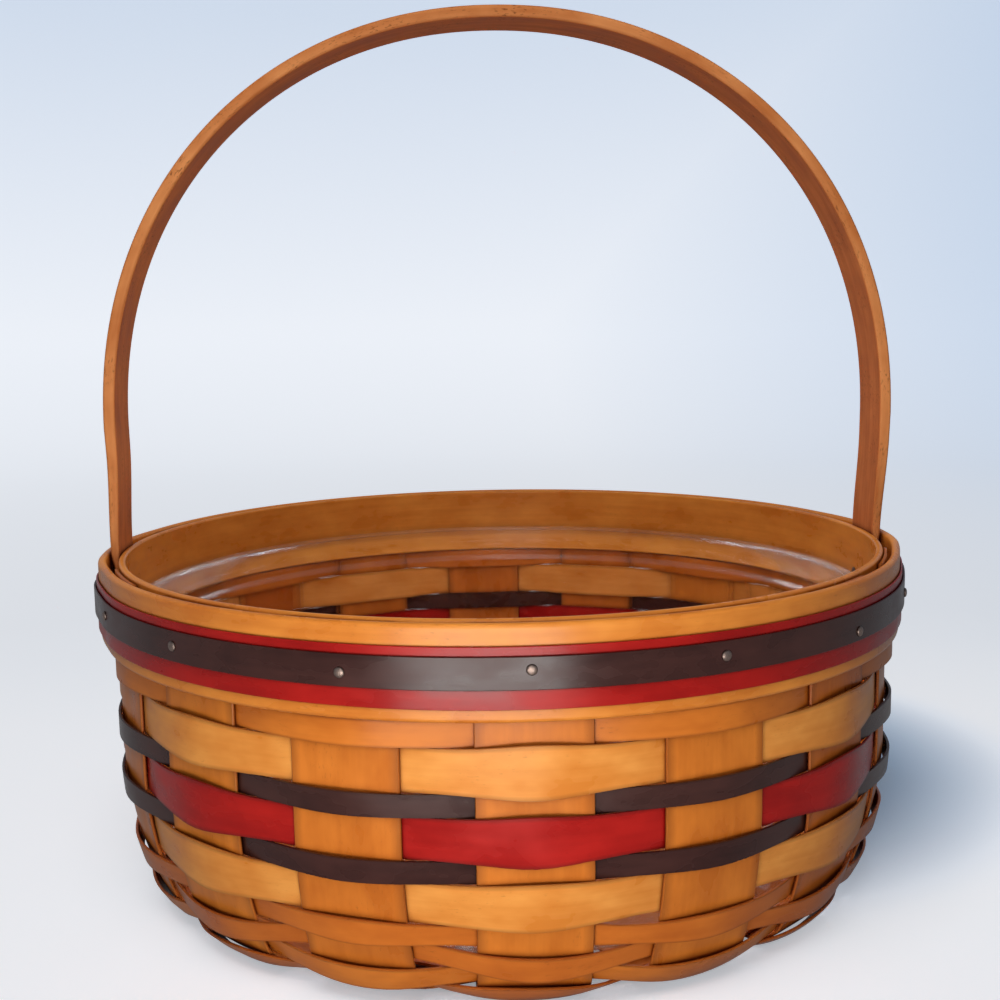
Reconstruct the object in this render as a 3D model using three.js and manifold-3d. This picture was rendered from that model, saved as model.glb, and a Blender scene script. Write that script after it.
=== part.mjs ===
// A round basket of woven wood splints: a nailed double rim band, two painted trim strips on it,
// a fixed bentwood handle and a clear liner that lifts out.
// Millimetres, +Z up. The origin is on the table under the middle of the basket, and the handle stands
// in the XZ plane. Heights on the wall are given as a distance down from the rim, along the wall.
import * as THREE from "three";
import { mergeVertices } from "three/addons/utils/BufferGeometryUtils.js";
import Module from "manifold-3d";

const wasm = await Module();
wasm.setup();

// Wall and base: the middle surface of the uprights
const wallRadius = 139.2;
const straightWall = 62;
const bendRadius = 127;
const bendAngle = THREE.MathUtils.degToRad(21.2);
const cornerRadius = 12.75;

// Uprights: each long splint climbs one wall, crosses under the base and climbs the wall opposite
const splintCount = 8;
const uprightWidth = 33.5;
const uprightThick = 1.0;
const uprightTop = 1.2;
const stackGap = 0.25;
const levelMargin = 2;
const startMargin = 1;
const rampGap = 5.5;

// Weavers: widths where two rows pass and where a row lies over an upright
const weaverThick = 0.9;
const weaverClearance = 0.5;
const weaverBow = 2.5;
const flatHalfAngle = THREE.MathUtils.degToRad(2.8);
const edgeMargin = THREE.MathUtils.degToRad(0.2);
const firstRow = 7.8;
const firstRowOver = 8;
const wideRow = 13;
const wideRowOver = 15.4;
const darkRow = 6.6;
const darkRowOver = 6.9;
const redRow = 12.4;
const redRowOver = 15.4;
const lowRow = 6.6;
const lowRowOver = 8.2;
const lastRow = 6.2;
const lastRowOver = 7.8;
const baseRow = 6.2;
const rowGap = 0.3;
const lowFirstGap = 1.7;
const lowRowGap = 1;
const baseRowGap = 0.5;
const lowStagger = 2;
const rowWander = 1.8;

// Rim bands and the strips nailed over them. The gaps are between a band and the uprights.
const bandHeight = 27.8;
const innerBandGap = 0.5;
const innerBandThick = 2.4;
const outerBandGap = 1.3;
const outerBandThick = 2.9;
const trimThick = 0.65;
const layerGap = 0.25;
const redTrimTop = 6.1;
const redTrimWidth = 17.6;
const darkTrimTop = 8.7;
const darkTrimWidth = 9.3;

// Handle: a bent strap whose outer edge follows a superellipse above straight legs
const handleWidth = 23.5;
const handleThick = 4.3;
const legLean = 0.55;
const archBase = 45;
const archRise = 145;
const archPower = 2.1;
const tongueThick = 1.3;
const tongueDepth = 23;
const shoulderTop = 1.5;
const shoulderBelow = 9;
const legStraight = 2;
const legClearance = 0.25;
const legBulge = 1.6;
const bulgeHalfAngle = THREE.MathUtils.degToRad(7);
const bulgeFadeAngle = THREE.MathUtils.degToRad(20);
const legUprightFlare = 1.6;
const legUprightRound = 0.5;
const legUprightTop = 11;
const flareEnd = 35.5;

// Nails and tacks. Each nail sits a little off the middle of its upright, round the rim and down it.
const nailDepth = 13.3;
const nailTurns = [0, 0.4, -0.6, 0.3, 0.5, -0.4, 0.2, -0.5, 0, 0.6, -0.7, 1.2, -0.4, -0.7, 0, 0.3];
const nailSinks = [0, 0.3, -0.5, 0.4, 0, -0.3, 0.6, 0.2, 0, -0.2, 0, 0.6, -1, -0.4, 1.8, 0.5];
const nailShankRadius = 0.7;
const nailHoleRadius = 0.95;
const nailHeadRadius = 1.6;
const nailHeadHeight = 0.8;
const nailTipCover = 0.5;
const tackDepth = 16.8;
const tackLength = 3.9;
const seatGap = 0.1;
const cutterPast = 2;

// Liner
const linerDrop = 16.5;
const lipGap = 1.6;
const lipWidth = 1.3;
const lipHeight = 1.6;
const linerThick = 1.2;
const linerFit = 0.3;
const stepDrop = 32;
const stepWidth = 1.2;
const upperTaper = 0.6;
const linerTaper = 7.7;
const linerCorner = 9;

const bandStations = 64;
const nailSides = 6;

const naturalWood = new THREE.MeshStandardMaterial({ color: 0xdc8a45, roughness: 0.5 });
const paleWood = new THREE.MeshStandardMaterial({ color: 0xe6a05c, roughness: 0.5 });
const bandWood = new THREE.MeshStandardMaterial({ color: 0xd07c38, roughness: 0.45 });
const handleWood = new THREE.MeshStandardMaterial({ color: 0xb9703a, roughness: 0.5 });
const redStain = new THREE.MeshStandardMaterial({ color: 0xb72c24, roughness: 0.42 });
const darkStain = new THREE.MeshStandardMaterial({ color: 0x4a3537, roughness: 0.45 });
const nailMetal = new THREE.MeshStandardMaterial({ color: 0xb59a8c, roughness: 0.4, metalness: 0.9 });
const clearPlastic = new THREE.MeshStandardMaterial({
  color: 0xf2f6f8,
  roughness: 0.08,
  transparent: true,
  opacity: 0.25,
});

// Rows from the rim down, each set below the one before it by gap. side 1 lies over the uprights in line with
// the handle and every second one from there, side -1 over those between. crossing is the row's width where two
// rows pass, over the width that shows on an upright, stagger how far it sinks on the side 1 uprights and rises
// on the others, and wander how far the low rows rise and sink round the basket.
const low = { crossing: lowRow, over: lowRowOver, gap: lowRowGap, wander: rowWander, wood: naturalWood };
const plain = { gap: rowGap, stagger: 0, wander: 0 };
const wide = { ...plain, crossing: wideRow, over: wideRowOver, wood: paleWood };
const dark = { ...plain, crossing: darkRow, over: darkRowOver, wood: darkStain };
const red = { ...plain, crossing: redRow, over: redRowOver, wood: redStain };
const first = { ...plain, crossing: firstRow, over: firstRowOver, wood: naturalWood };
const base = { ...plain, crossing: baseRow, over: baseRow, gap: baseRowGap, wood: naturalWood };
const wallRows = [
  { ...first, name: "row_01_narrow", side: -1 },
  { ...wide, name: "row_02_wide", side: 1 },
  { ...dark, name: "row_03_dark", side: -1 },
  { ...red, name: "row_04_red", side: 1 },
  { ...dark, name: "row_05_dark", side: -1 },
  { ...wide, name: "row_06_wide", side: 1 },
  { ...low, name: "row_07_narrow", side: -1, stagger: 0, gap: lowFirstGap },
  { ...low, name: "row_08_narrow", side: 1, stagger: lowStagger },
  { ...low, name: "row_09_narrow", side: -1, stagger: -lowStagger },
  { ...low, name: "row_10_narrow", side: 1, stagger: -lowStagger, crossing: lastRow, over: lastRowOver },
];
const baseRows = [
  { ...base, name: "base_row_outer", side: -1, gap: 0 },
  { ...base, name: "base_row_inner", side: 1 },
];

// The middle surface in the plane of one upright, z measured from the rim: a straight wall, a wide bend,
// a tight corner and the flat base.
const uprightCount = 2 * splintCount;
const uprightPitch = (2 * Math.PI) / uprightCount;
const bendEnd = straightWall + bendRadius * bendAngle;
const cornerEnd = bendEnd + cornerRadius * (Math.PI / 2 - bendAngle);
const cornerCentreRadius = wallRadius - bendRadius + (bendRadius - cornerRadius) * Math.cos(bendAngle);
const cornerCentreDrop = straightWall + (bendRadius - cornerRadius) * Math.sin(bendAngle);
const baseDrop = cornerCentreDrop + cornerRadius;
const footOffset = weaverBow + weaverThick / 2;
const rimZ = baseDrop + footOffset;
const innerBandRadius = wallRadius - uprightThick / 2 - innerBandGap;
const outerBandRadius = wallRadius + uprightThick / 2 + outerBandGap;

function arcPoint(centreRadius, centreDrop, radius, angle) {
  return {
    r: centreRadius + radius * Math.cos(angle),
    z: rimZ - centreDrop - radius * Math.sin(angle),
  };
}

// A point at the distance down the wall, set off outwards from the middle surface.
function wallPoint(down, out) {
  if (down <= straightWall) return { r: wallRadius + out, z: rimZ - down };
  if (down <= bendEnd) {
    const angle = (down - straightWall) / bendRadius;
    return arcPoint(wallRadius - bendRadius, straightWall, bendRadius + out, angle);
  }
  const angle = Math.min(bendAngle + (down - bendEnd) / cornerRadius, Math.PI / 2);
  const point = arcPoint(cornerCentreRadius, cornerCentreDrop, cornerRadius + out, angle);
  point.r -= Math.max(0, down - cornerEnd);
  return point;
}

function polar(r, angle, z) {
  return new THREE.Vector3(r * Math.cos(angle), r * Math.sin(angle), z);
}

// Joins sections, loops with the same number of points, into one closed body. An open run is capped
// by quads across its loop, so a loop lists its two long sides one after the other.
function loft(sections, closed) {
  const size = sections[0].length;
  const points = sections.flat();
  const index = [];
  const runs = closed ? sections.length : sections.length - 1;
  for (let i = 0; i < runs; i++) {
    const a = i * size;
    const b = ((i + 1) % sections.length) * size;
    for (let j = 0; j < size; j++) {
      const k = (j + 1) % size;
      index.push(a + j, b + j, b + k, a + j, b + k, a + k);
    }
  }
  if (!closed) {
    const last = (sections.length - 1) * size;
    for (let j = 0; j < size / 2 - 1; j++) {
      const k = size - 1 - j;
      index.push(j, j + 1, k - 1, j, k - 1, k);
      index.push(last + j, last + k - 1, last + j + 1, last + j, last + k, last + k - 1);
    }
  }
  const geometry = new THREE.BufferGeometry().setFromPoints(points);
  geometry.setIndex(index);
  return geometry;
}

function toSolid(geometry) {
  const bare = geometry.clone();
  for (const name of ["normal", "uv"]) bare.deleteAttribute(name);
  const merged = mergeVertices(bare, 1e-4);
  return new wasm.Manifold(
    new wasm.Mesh({
      numProp: 3,
      vertProperties: merged.attributes.position.array,
      triVerts: new Uint32Array(merged.index.array),
    }),
  );
}

function toGeometry(solid) {
  const { vertProperties, triVerts } = solid.getMesh();
  const geometry = new THREE.BufferGeometry();
  geometry.setAttribute("position", new THREE.BufferAttribute(vertProperties, 3));
  geometry.setIndex(new THREE.BufferAttribute(triVerts, 1));
  return geometry;
}

// The cutters of the nail and tack holes, each a prism along its nail's line from an inner radius outwards.
// A rim nail's hole stops inside the inner band.
function holeCutter(angle, down, start) {
  const length = rimOuterRadius + legBulge + cutterPast - start;
  const prism = new THREE.CylinderGeometry(nailHoleRadius, nailHoleRadius, length, nailSides);
  prism.rotateZ(-Math.PI / 2);
  prism.translate(start + length / 2, 0, rimZ - down);
  prism.rotateZ(angle);
  return toSolid(prism);
}

function drilled(geometry, cutters) {
  return toGeometry(cutters.reduce((solid, cutter) => solid.subtract(cutter), toSolid(geometry)));
}

const uprightAngles = Array.from({ length: uprightCount }, (_, i) => i * uprightPitch);
const innerFace = innerBandRadius - innerBandThick;
const redTrimRadius = outerBandRadius + outerBandThick + layerGap;
const darkTrimRadius = redTrimRadius + trimThick + layerGap;
const rimOuterRadius = darkTrimRadius + trimThick;
const nails = uprightAngles.map((angle, i) => ({
  angle: angle + THREE.MathUtils.degToRad(nailTurns[i % nailTurns.length]),
  down: nailDepth + nailSinks[i % nailSinks.length],
}));
const nailCutters = nails.map(({ angle, down }) => holeCutter(angle, down, innerFace + nailTipCover / 2));
const legAngles = [0, Math.PI];
const tackCutters = legAngles.map((angle) => holeCutter(angle, tackDepth, innerFace - nailTipCover));

// How far a band stands out round the handle's legs: full beside a leg, fading to nothing.
function bulgeAt(angle) {
  const off = Math.abs(Math.atan2(Math.sin(2 * angle), Math.cos(2 * angle))) / 2;
  return legBulge * (1 - THREE.MathUtils.smoothstep(off, bulgeHalfAngle, bulgeFadeAngle));
}

function bandRing(innerRadius, thick, top, height, bulges) {
  const sections = [];
  for (let i = 0; i < bandStations; i++) {
    const angle = ((i + 0.5) / bandStations) * 2 * Math.PI;
    const inner = innerRadius + (bulges ? bulgeAt(angle) : 0);
    const outer = inner + thick;
    const low = rimZ - top - height;
    const high = rimZ - top;
    sections.push([
      polar(inner, angle, low),
      polar(outer, angle, low),
      polar(outer, angle, high),
      polar(inner, angle, high),
    ]);
  }
  return loft(sections, true);
}

function innerBand() {
  const ring = bandRing(innerFace, innerBandThick, 0, bandHeight, false);
  return drilled(ring, [...nailCutters, ...tackCutters]);
}

function outerBand() {
  return drilled(bandRing(outerBandRadius, outerBandThick, 0, bandHeight, true), nailCutters);
}

function redTrim() {
  return drilled(bandRing(redTrimRadius, trimThick, redTrimTop, redTrimWidth, true), nailCutters);
}

function darkTrim() {
  return drilled(bandRing(darkTrimRadius, trimThick, darkTrimTop, darkTrimWidth, true), nailCutters);
}

// One row: a closed strip that bows out over every second upright and in behind the others. It has a flat
// over the middle of each upright, clears the upright's edges by weaverClearance and passes the rows beside it
// halfway between two uprights.
function weaverRow(row, centre) {
  const half = Math.max(row.crossing, row.over) / 2 + Math.abs(row.stagger) + row.wander;
  const narrowest = Math.min(wallPoint(centre - half, 0).r, wallPoint(centre + half, 0).r);
  const edgeAngle = Math.asin(uprightWidth / 2 / narrowest) + edgeMargin;
  const clear = (uprightThick + weaverThick) / 2 + weaverClearance;
  const edgeWave = Math.min(1, clear / weaverBow);
  const sections = [];
  uprightAngles.forEach((angle, i) => {
    const sign = i % 2 ? -1 : 1;
    const steps = [
      [-edgeAngle, edgeWave],
      [-flatHalfAngle, 1],
      [flatHalfAngle, 1],
      [edgeAngle, edgeWave],
      [uprightPitch / 2, 0],
    ];
    for (const [step, height] of steps) {
      const wave = sign * height;
      const over = Math.max(0, wave * row.side) ** 2;
      const halfWidth = (row.crossing + (row.over - row.crossing) * over) / 2;
      const drift = row.wander * Math.sin(((angle + step) * uprightCount) / 4);
      const middle = centre + row.stagger * wave + drift;
      const out = row.side * wave * Math.max(weaverBow, clear);
      const corners = [
        wallPoint(middle + halfWidth, out - weaverThick / 2),
        wallPoint(middle + halfWidth, out + weaverThick / 2),
        wallPoint(middle - halfWidth, out + weaverThick / 2),
        wallPoint(middle - halfWidth, out - weaverThick / 2),
      ];
      sections.push(corners.map(({ r, z }) => polar(r, angle + step, z)));
    }
  });
  return loft(sections, true);
}

// Levels of the splints where they cross under the base. The splints over which the side 1 rows pass lie
// lowest. A splint rises to its own level inside the circle where it starts to cross its like neighbours.
const stackStep = uprightThick + stackGap;
const nextCrossing = uprightWidth / 2 / Math.tan(uprightPitch / 2);
const likeCrossing = uprightWidth / 2 / Math.tan(uprightPitch);
const rampLength = 0.5 * likeCrossing;
const baseRowsEnd = cornerCentreRadius - 2 * baseRow - baseRowGap;

function splintLevels(number) {
  const between = number % 2;
  const place = Math.floor(number / 2) + (between ? splintCount / 2 - 1 : 0);
  const start = likeCrossing + startMargin + (between ? stackStep * 3.5 : 0);
  return [
    { u: baseRowsEnd - rampGap, level: 0 },
    { u: nextCrossing + levelMargin, level: between },
    { u: start + rampLength, level: between },
    { u: start, level: between + place },
  ];
}

// Half of a splint's path from the rim to the middle of the base: own distance from the axis u, height z,
// the direction of its thickness and how far its section follows the round wall.
function splintHalfPath(number) {
  const atLeg = number === 0;
  const stations = [atLeg ? legUprightTop : uprightTop];
  if (atLeg) stations.push(tongueDepth, flareEnd);
  stations.push(straightWall);
  const bendSteps = 5;
  const cornerSteps = 4;
  for (let i = 1; i <= bendSteps; i++) {
    stations.push(straightWall + ((bendEnd - straightWall) * i) / bendSteps);
  }
  for (let i = 1; i <= cornerSteps; i++) {
    stations.push(bendEnd + ((cornerEnd - bendEnd) * i) / cornerSteps);
  }
  const path = stations.map((down) => {
    const flared = atLeg && down <= tongueDepth;
    const flare = flared ? legUprightFlare : 0;
    const middle = wallPoint(down, flare);
    const outer = wallPoint(down, flare + 1);
    const round = flared ? legUprightRound : 1;
    return { u: middle.r, z: middle.z, du: outer.r - middle.r, dz: outer.z - middle.z, round };
  });
  for (const { u, level } of splintLevels(number)) {
    path.push({ u, z: rimZ - baseDrop + level * stackStep, du: 0, dz: -1, round: 0 });
  }
  return path;
}

function upright(number) {
  const half = splintHalfPath(number);
  const path = [
    ...half.map((point) => ({ ...point, way: 1 })),
    ...half.map((point) => ({ ...point, way: -1 })).reverse(),
  ];
  const lateral = [-uprightWidth / 2, 0, uprightWidth / 2];
  const sections = path.map(({ u, z, du, dz, round, way }) => {
    const side = (out) =>
      lateral.map((v) => {
        const r = u + out * du;
        const bent = Math.sqrt(r * r - v * v);
        const along = round * bent + (1 - round) * r;
        return new THREE.Vector3(way * along, v, z + out * dz);
      });
    return [...side(uprightThick / 2), ...side(-uprightThick / 2).reverse()];
  });
  const geometry = loft(sections, false);
  geometry.rotateZ(number * uprightPitch);
  const cutters = [nailCutters[number], nailCutters[number + splintCount]];
  return drilled(geometry, cutters);
}

// The handle's outline in the XZ plane, heights from the rim. Its leg fills the room between the bands at the
// rim and thins below it to a tongue inside the uprights.
const facetShare = Math.cos(Math.PI / bandStations);
const legInner = innerBandRadius + layerGap;
const tongueOuter = legInner + tongueThick;
const legRoom = Math.sqrt((outerBandRadius + legBulge) ** 2 - (handleWidth / 2) ** 2) * facetShare;
const legOuter = legRoom - legClearance;
const handleHalfSpan = legInner + legLean + handleThick;
const archSteps = 14;

function archPoint(angle, inset) {
  const power = 2 / archPower;
  const x = handleHalfSpan * Math.cos(angle) ** power;
  const z = archBase + archRise * Math.sin(angle) ** power;
  const normalX = (x / handleHalfSpan) ** (archPower - 1) / handleHalfSpan;
  const normalZ = ((z - archBase) / archRise) ** (archPower - 1) / archRise;
  const length = Math.hypot(normalX, normalZ);
  return [x - (inset * normalX) / length, z - (inset * normalZ) / length];
}

function handle() {
  const outerSide = [
    [tongueOuter, -tongueDepth],
    [tongueOuter, -shoulderBelow],
    [legOuter, -shoulderTop],
    [legOuter, legStraight],
  ];
  const innerSide = [
    [legInner, -tongueDepth],
    [legInner, legStraight],
  ];
  for (let i = 0; i < archSteps; i++) {
    const angle = ((i / archSteps) * Math.PI) / 2;
    outerSide.push(archPoint(angle, 0));
    innerSide.push(archPoint(angle, handleThick));
  }
  const top = archBase + archRise;
  const mirrored = (side) => side.map(([x, z]) => [-x, z]).reverse();
  const outline = [
    ...outerSide,
    [0, top],
    ...mirrored(outerSide),
    ...mirrored(innerSide).reverse(),
    [0, top - handleThick],
    ...innerSide.slice().reverse(),
  ];
  const shape = new THREE.Shape(outline.map(([x, z]) => new THREE.Vector2(x, z)));
  const geometry = new THREE.ExtrudeGeometry(shape, { depth: handleWidth, bevelEnabled: false });
  geometry.translate(0, 0, -handleWidth / 2);
  geometry.rotateX(Math.PI / 2);
  geometry.translate(0, 0, rimZ);
  const cutters = [nailCutters[0], nailCutters[splintCount], ...tackCutters];
  return drilled(geometry, cutters);
}

// A nail along +X with the underside of its head at x = 0 and its point at x = -length.
function nailGeometry(length) {
  const profile = [
    [0, nailHeadHeight],
    [0.65 * nailHeadRadius, 0.75 * nailHeadHeight],
    [nailHeadRadius, 0],
    [nailShankRadius, 0],
    [nailShankRadius, -length],
    [0, -length],
  ];
  const points = profile.map(([r, y]) => new THREE.Vector2(r, y)).reverse();
  const geometry = new THREE.LatheGeometry(points, nailSides);
  geometry.rotateZ(-Math.PI / 2);
  return geometry;
}

function rimNail({ angle, down }) {
  const seat = (rimOuterRadius + bulgeAt(angle)) * facetShare + seatGap;
  const tip = innerFace + nailTipCover;
  const geometry = nailGeometry(seat - tip);
  geometry.translate(seat, 0, rimZ - down);
  geometry.rotateZ(angle);
  return geometry;
}

function handleTack(angle) {
  const geometry = nailGeometry(tackLength);
  const seat = innerFace * facetShare - seatGap;
  geometry.rotateZ(Math.PI);
  geometry.translate(seat, 0, rimZ - tackDepth);
  geometry.rotateZ(angle);
  return geometry;
}

// The liner stands on the stack of splints in the middle of the base.
function liner() {
  const stackTop = rimZ - baseDrop + (splintCount - 1) * stackStep + uprightThick / 2;
  const floor = stackTop + linerFit;
  const top = rimZ - linerDrop;
  const step = rimZ - stepDrop;
  const lipRadius = innerFace - lipGap;
  const footRadius = lipRadius - linerTaper;
  const bodyTop = lipRadius - lipWidth;
  const bodyStep = bodyTop - upperTaper;
  const cornerSteps = 3;
  const outer = [
    [lipRadius, top],
    [lipRadius, top - lipHeight],
    [bodyTop, top - lipHeight],
    [bodyStep, step + stepWidth],
    [bodyStep - stepWidth, step],
  ];
  const inner = [
    [bodyTop - linerThick, top],
    [bodyStep - linerThick, step + stepWidth],
    [bodyStep - stepWidth - linerThick, step],
  ];
  for (let i = 0; i <= cornerSteps; i++) {
    const angle = ((i / cornerSteps) * Math.PI) / 2;
    const r = footRadius - linerCorner + linerCorner * Math.cos(angle);
    const z = floor + linerCorner - linerCorner * Math.sin(angle);
    outer.push([r, z]);
    inner.push([r - linerThick * Math.cos(angle), z + linerThick * Math.sin(angle)]);
  }
  const profile = [[0, floor + linerThick], ...inner.reverse(), ...outer, [0, floor]];
  const points = profile.map(([r, z]) => new THREE.Vector2(r, z)).reverse();
  const geometry = new THREE.LatheGeometry(points, bandStations);
  geometry.rotateX(Math.PI / 2);
  return geometry;
}

const basket = new THREE.Group();

function add(name, geometry, material) {
  const mesh = new THREE.Mesh(geometry, material);
  mesh.name = name;
  basket.add(mesh);
}

for (let i = 0; i < splintCount; i++) add(`upright_splint_${i + 1}`, upright(i), naturalWood);

let edge = bandHeight;
for (const row of wallRows) {
  add(row.name, weaverRow(row, edge + row.gap + row.crossing / 2), row.wood);
  edge += row.gap + row.crossing;
}
edge = cornerEnd;
for (const row of baseRows) {
  add(row.name, weaverRow(row, edge + row.gap + row.crossing / 2), row.wood);
  edge += row.gap + row.crossing;
}

add("inner_band", innerBand(), bandWood);
add("outer_band", outerBand(), bandWood);
add("red_trim", redTrim(), redStain);
add("dark_trim", darkTrim(), darkStain);
add("handle", handle(), handleWood);
nails.forEach((nail, i) => {
  add(`rim_nail_${String(i + 1).padStart(2, "0")}`, rimNail(nail), nailMetal);
});
legAngles.forEach((angle, i) => add(`handle_tack_${i + 1}`, handleTack(angle), nailMetal));
add("liner", liner(), clearPlastic);

export default basket;
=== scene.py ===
"""A woven splint basket with a nailed rim, a bent handle and a clear liner, dressed on its solids.

Every length is in metres. Heights on the wall are given as a distance down from the rim, along the wall.
"""

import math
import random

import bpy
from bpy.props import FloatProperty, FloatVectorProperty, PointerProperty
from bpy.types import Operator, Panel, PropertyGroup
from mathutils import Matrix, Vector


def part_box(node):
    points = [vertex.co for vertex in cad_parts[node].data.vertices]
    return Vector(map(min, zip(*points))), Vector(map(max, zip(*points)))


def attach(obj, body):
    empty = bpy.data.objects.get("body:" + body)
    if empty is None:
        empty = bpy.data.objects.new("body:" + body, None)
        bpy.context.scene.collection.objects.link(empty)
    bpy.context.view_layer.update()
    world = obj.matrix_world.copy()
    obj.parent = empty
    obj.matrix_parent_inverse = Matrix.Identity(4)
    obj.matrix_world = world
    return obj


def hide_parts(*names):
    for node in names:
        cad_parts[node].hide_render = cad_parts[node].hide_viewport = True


bl_info = {
    "name": "Woven splint basket",
    "version": (1, 0, 0),
    "blender": (4, 5, 0),
    "location": "View3D > Sidebar > Basket",
    "description": "Makes the splints, weaving, rim, handle and liner of a round basket",
    "category": "Object",
}

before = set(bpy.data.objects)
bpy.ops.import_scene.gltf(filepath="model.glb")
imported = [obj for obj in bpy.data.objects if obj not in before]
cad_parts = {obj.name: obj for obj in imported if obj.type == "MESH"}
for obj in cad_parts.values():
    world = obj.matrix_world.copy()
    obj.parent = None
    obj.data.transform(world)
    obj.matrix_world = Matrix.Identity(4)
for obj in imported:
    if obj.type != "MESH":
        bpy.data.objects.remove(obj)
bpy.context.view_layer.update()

SPLINTS = 8
UPRIGHTS = 2 * SPLINTS
PITCH = 2 * math.pi / UPRIGHTS
RIM_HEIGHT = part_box("inner_band")[1].z
TACK_HEIGHT = sum(corner.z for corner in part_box("handle_tack_1")) / 2

# Painted shade: how much darker the wood is made on the faces inside the basket and on the handle's broad
# faces
INSIDE_SHADE = 0.75

# How far the painted shade in a crease between two splints reaches
CREASE_REACH = 0.0035

# Numbers of sections: of a row for each upright, of half a splint, a band, a leg and half the arch
ROW_STEPS = 14
SPLINT_STEPS = 48
BAND_STEPS = 256
LEG_STEPS = 40
ARCH_STEPS = 64

# Share of a row's section that bends with the wall, and the waves over which its edges tuck in
ROW_CURVED = 0.6
TUCK_WAVES = (0.1, 0.45)

# Sides of the liner and of a nail's head
LINER_SIDES = 160
NAIL_SIDES = 20

# How much a row rises and sinks at random, and the range of its width
ROW_DRIFT = 0.00012
ROW_PLUMP = (0.96, 1.03)

# Distances down from the rim: top of a splint, top of one behind a leg, and end of the handle
SPLINT_TOP = 0.0012
LEG_SPLINT_TOP = 0.011
HANDLE_END = 0.023

# How far the splint behind a leg stands out beside the tongue, and where it is back on the wall
TONGUE_SPREAD = 0.0016
SPREAD_END = 0.0355

# Room beside the crossings under the base: where a splint starts to rise, is up, and meets its likes
RISE_FROM = 0.016
RISE_TO = 0.002
CROSSING_ROOM = 0.001

# Heights over the rim where a leg starts to thicken, is at its full thickness and starts to lean out
THICKENS_FROM = -0.009
THICK_FROM = -0.0015
LEG_TOP = 0.002

# Angles off the handle between which the outer band's bulge fades
BULGE_FULL = math.radians(7)
BULGE_END = math.radians(20)

# Length of a tack, how far a rim nail stops short of the inner band's inside, and the room under a head
TACK_LENGTH = 0.0037
NAIL_SHORT = 0.0005
HEAD_ROOM = 0.00002

# Noises of the wood: scales along and across the strip, detail and roughness, and the tint of the painted
# shade in its creases
BLOTCH = (40.0, 75.0, 3.0, 0.6)
STREAK = (16.0, 420.0, 3.0, 0.55)
FLECK = (600.0, 1700.0, 2.0, 0.5)
PATCH = (50.0, 80.0, 1.0, 0.5)
CREASE_SHADE_TINT = (0.3, 0.16, 0.12, 1.0)

# Paper: floor radius, radius of the bend, height of the wall, steps in the bend and sides
PAPER_FLOOR = 1.4
PAPER_BEND = 0.8
PAPER_TOP = 3.0
PAPER_STEPS = 12
PAPER_SIDES = 96

# Middle of the shade on the paper, the colours of its light, and the tint of what it lights
SHADE_PLACE = (0.062, 0.095, 0.0)
PALE_GLOW = (0.94, 0.96, 1.0, 1.0)
COOL_GLOW = (0.48, 0.61, 0.8, 1.0)
SHADE_TINT = (0.5, 0.7, 0.95, 1.0)

# Share of the paper's light that the varnish reflects, so that it doesn't bleach the stains
PAPER_REFLECTED = 0.33

# Lamps: name, place, target, size, watts, colour, what it lights and whether the varnish shows it.
# The low lamp puts the sheen on the varnish.
WARM = (1.0, 0.98, 0.95)
WHITE = (1.0, 1.0, 1.0)
LAMPS = (
    ("key_lamp", (-0.11, -0.56, 0.34), (0, -0.1, 0.3), (0.2, 0.5), 0.5, WARM, "basket", True),
    ("low_lamp", (-0.05, -0.37, 0.05), (-0.02, -0.14, 0.08), (0.22, 0.06), 0.5, WARM, "wooden", True),
    ("fill_lamp", (-0.02, -0.46, 0.28), (0, -0.1, 0.12), (0.3, 0.3), 0.5, WARM, "basket", False),
    ("back_lamp_left", (-1.0, 1.3, 1.0), (0, 0, 0.1), (1.0, 1.0), 12.5, WHITE, "basket", False),
    ("back_lamp_right", (1.0, 1.3, 1.0), (0, 0, 0.1), (1.0, 1.0), 12.5, WHITE, "basket", False),
    ("room_lamp", (-0.25, -0.75, 1.75), (0, 0, 0), (1.0, 1.0), 12.0, WHITE, "all", False),
)
WORLD_COLOUR = (0.93, 0.96, 1.0, 1.0)
WORLD_STRENGTH = 0.06

# Camera: focal length in mm on a 36 mm frame, place, direction and roll
LENS = 47.63
CAMERA_PLACE = (-0.03005, -0.49012, RIM_HEIGHT + 0.0804)
CAMERA_AHEAD = (0.06082676, 0.98915477, -0.13368975)
CAMERA_ROLL = math.radians(-0.97)

# Rows of weaving from the rim down: node, kind, side that lies over, stagger and finish
LOW_KINDS = ("low", "last")
ROWS = (
    ("row_01_narrow", "first", -1, 0, "splint"),
    ("row_02_wide", "wide", 1, 0, "splint_pale"),
    ("row_03_dark", "dark", -1, 0, "dark_stain"),
    ("row_04_red", "red", 1, 0, "red_stain"),
    ("row_05_dark", "dark", -1, 0, "dark_stain"),
    ("row_06_wide", "wide", 1, 0, "splint_pale"),
    ("row_07_narrow", "low", -1, 0, "splint"),
    ("row_08_narrow", "low", 1, 1, "splint"),
    ("row_09_narrow", "low", -1, -1, "splint"),
    ("row_10_narrow", "last", 1, -1, "splint"),
)
BASE_ROWS = (
    ("base_row_outer", "base", -1, 0, "splint"),
    ("base_row_inner", "base", 1, 0, "splint"),
)


def length(name, default, description):
    """A length in metres that a user can change."""
    return FloatProperty(name=name, description=description, default=default, min=0.0, unit="LENGTH")


def colour(name, default, description):
    """A colour that a user can change."""
    limits = {"size": 3, "min": 0.0, "max": 1.0}
    return FloatVectorProperty(name=name, description=description, default=default, subtype="COLOR", **limits)


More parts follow.
